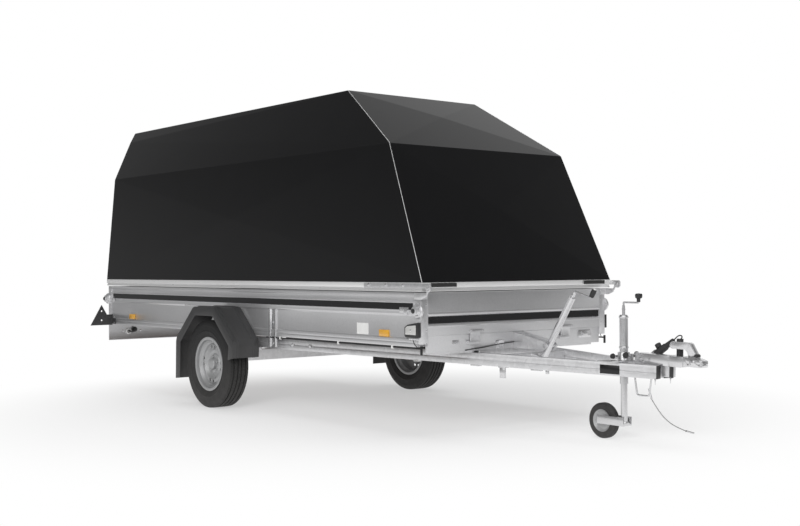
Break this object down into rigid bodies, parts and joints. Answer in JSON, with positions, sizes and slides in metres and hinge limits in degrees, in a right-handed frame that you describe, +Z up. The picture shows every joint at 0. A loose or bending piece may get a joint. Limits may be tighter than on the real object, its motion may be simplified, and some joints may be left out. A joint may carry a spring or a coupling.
{
  "type": "lidded utility trailer",
  "caption": "Towed box trailer with a tall hinged hard lid, V drawbar, ball coupling, jockey wheel, screw jack that tips the box, and a drop-down tailgate.",
  "frame": {"origin": "on the ground under the middle of the trailer's length and width", "axes": "+X forward to the coupling, +Y to the left-hand side, +Z up"},
  "size_m": [5.2014, 1.9, 2.0145],
  "materials": {
    "aluminium": "satin extruded",
    "amber": "reflector",
    "black_plastic": "textured",
    "cable_rubber": "cable sheath",
    "galvanised": "hot-dip galvanised",
    "lid_black": "glossy",
    "plywood": "film-faced",
    "red_lens": "lens",
    "rim_silver": "silver",
    "sheet_steel": "galvanised sheet",
    "steel_wire": "sheathed",
    "stripe_black": "gloss",
    "tyre_rubber": "matte",
    "zinc_plated": "bright zinc"
  },
  "bodies": {
    "chassis": {"axle_beam": "galvanised", "drawbar_beam_right": "galvanised", "drawbar_beam_left": "galvanised", "cross_members": "galvanised", "coupling_body": "zinc_plated", "coupling_handle": "zinc_plated", "nose_block": "galvanised", "nose_caps": "black_plastic", "jockey_clamp": "zinc_plated", "jockey_tube": "zinc_plated", "jockey_crank": "zinc_plated", "mudguard_right": "black_plastic", "mudguard_left": "black_plastic", "mudguard_stays": "galvanised", "wire_loop": "zinc_plated", "wire_fittings": "zinc_plated", "breakaway_wire": "steel_wire", "plug": "black_plastic", "plug_holder": "galvanised", "plug_lead": "cable_rubber", "loom": "cable_rubber"},
    "box": {"side_wall_right": "sheet_steel", "side_wall_left": "sheet_steel", "front_wall": "sheet_steel", "corner_posts": "galvanised", "stripes": "stripe_black", "floor_board": "plywood", "floor_bearers": "galvanised", "tip_hinges": "galvanised", "lamp_panel": "sheet_steel", "tail_lamps": "red_lens", "rear_triangles": "black_plastic", "marker_lamps": "black_plastic", "side_reflectors": "amber", "latches": "galvanised", "jack_bracket": "galvanised", "lid_ears": "galvanised"},
    "tailgate": {"tailgate": "sheet_steel"},
    "lid": {"lid_side_right": "lid_black", "lid_side_left": "lid_black", "lid_front": "lid_black", "lid_hood": "lid_black", "lid_roof": "lid_black", "lid_rear": "lid_black", "lid_chamfers": "lid_black", "lid_frame": "aluminium", "lid_pads": "black_plastic", "lid_arms": "galvanised"},
    "wheel_right": {"tyre_right": "tyre_rubber", "rim_right": "rim_silver"},
    "wheel_left": {"tyre_left": "tyre_rubber", "rim_left": "rim_silver"},
    "jockey_leg": {"jockey_leg": "zinc_plated"},
    "jockey_fork": {"jockey_fork": "zinc_plated"},
    "jockey_wheel": {"jockey_wheel": "rim_silver", "jockey_tyre": "tyre_rubber"},
    "jack_tube": {"jack_tube": "zinc_plated", "jack_crank": "zinc_plated"},
    "jack_rod": {"jack_rod": "zinc_plated"}
  },
  "joints": [
    {"name": "wheel_right_spin", "type": "hinge", "parent": "chassis", "child": "wheel_right", "pos_m": [-0.6675, -0.851, 0.289], "axis": [0, 1, 0], "continuous": true},
    {"name": "wheel_left_spin", "type": "hinge", "parent": "chassis", "child": "wheel_left", "pos_m": [-0.6675, 0.851, 0.289], "axis": [0, 1, 0], "continuous": true},
    {"name": "box_tip", "type": "hinge", "parent": "chassis", "child": "box", "pos_m": [-1.2175, 0, 0.4365], "axis": [0, -1, 0], "range_deg": [0, 7]},
    {"name": "tailgate_hinge", "type": "hinge", "parent": "box", "child": "tailgate", "pos_m": [-2.54, 0, 0.5165], "axis": [0, -1, 0], "range_deg": [0, 90]},
    {"name": "lid_hinge", "type": "hinge", "parent": "box", "child": "lid", "pos_m": [1.3945, 0, 0.8055], "axis": [0, 1, 0], "range_deg": [0, 60]},
    {"name": "jockey_slide", "type": "slide", "parent": "chassis", "child": "jockey_leg", "axis": [0, 0, 1], "range_m": [-0.06, 0.12]},
    {"name": "jockey_swivel", "type": "hinge", "parent": "jockey_leg", "child": "jockey_fork", "pos_m": [2.0825, 0, 0.102], "axis": [0, 0, 1], "continuous": true},
    {"name": "jockey_wheel_spin", "type": "hinge", "parent": "jockey_fork", "child": "jockey_wheel", "pos_m": [1.9445, 0, 0.095], "axis": [0, 1, 0], "continuous": true},
    {"name": "jack_swing", "type": "hinge", "parent": "box", "child": "jack_tube", "pos_m": [1.54608, 0, 0.47393], "axis": [0, -1, 0], "range_deg": [0, 21.74]},
    {"name": "jack_extend", "type": "slide", "parent": "jack_tube", "child": "jack_rod", "axis": [-0.5358, 0, -0.8443], "range_m": [0, 0.3239]}
  ],
  "couplings": [
    {"joint": "jack_swing", "follows": "box_tip", "ratio": 3.0768},
    {"joint": "jack_extend", "follows": "box_tip", "m_per_rad": 2.6349}
  ]
}
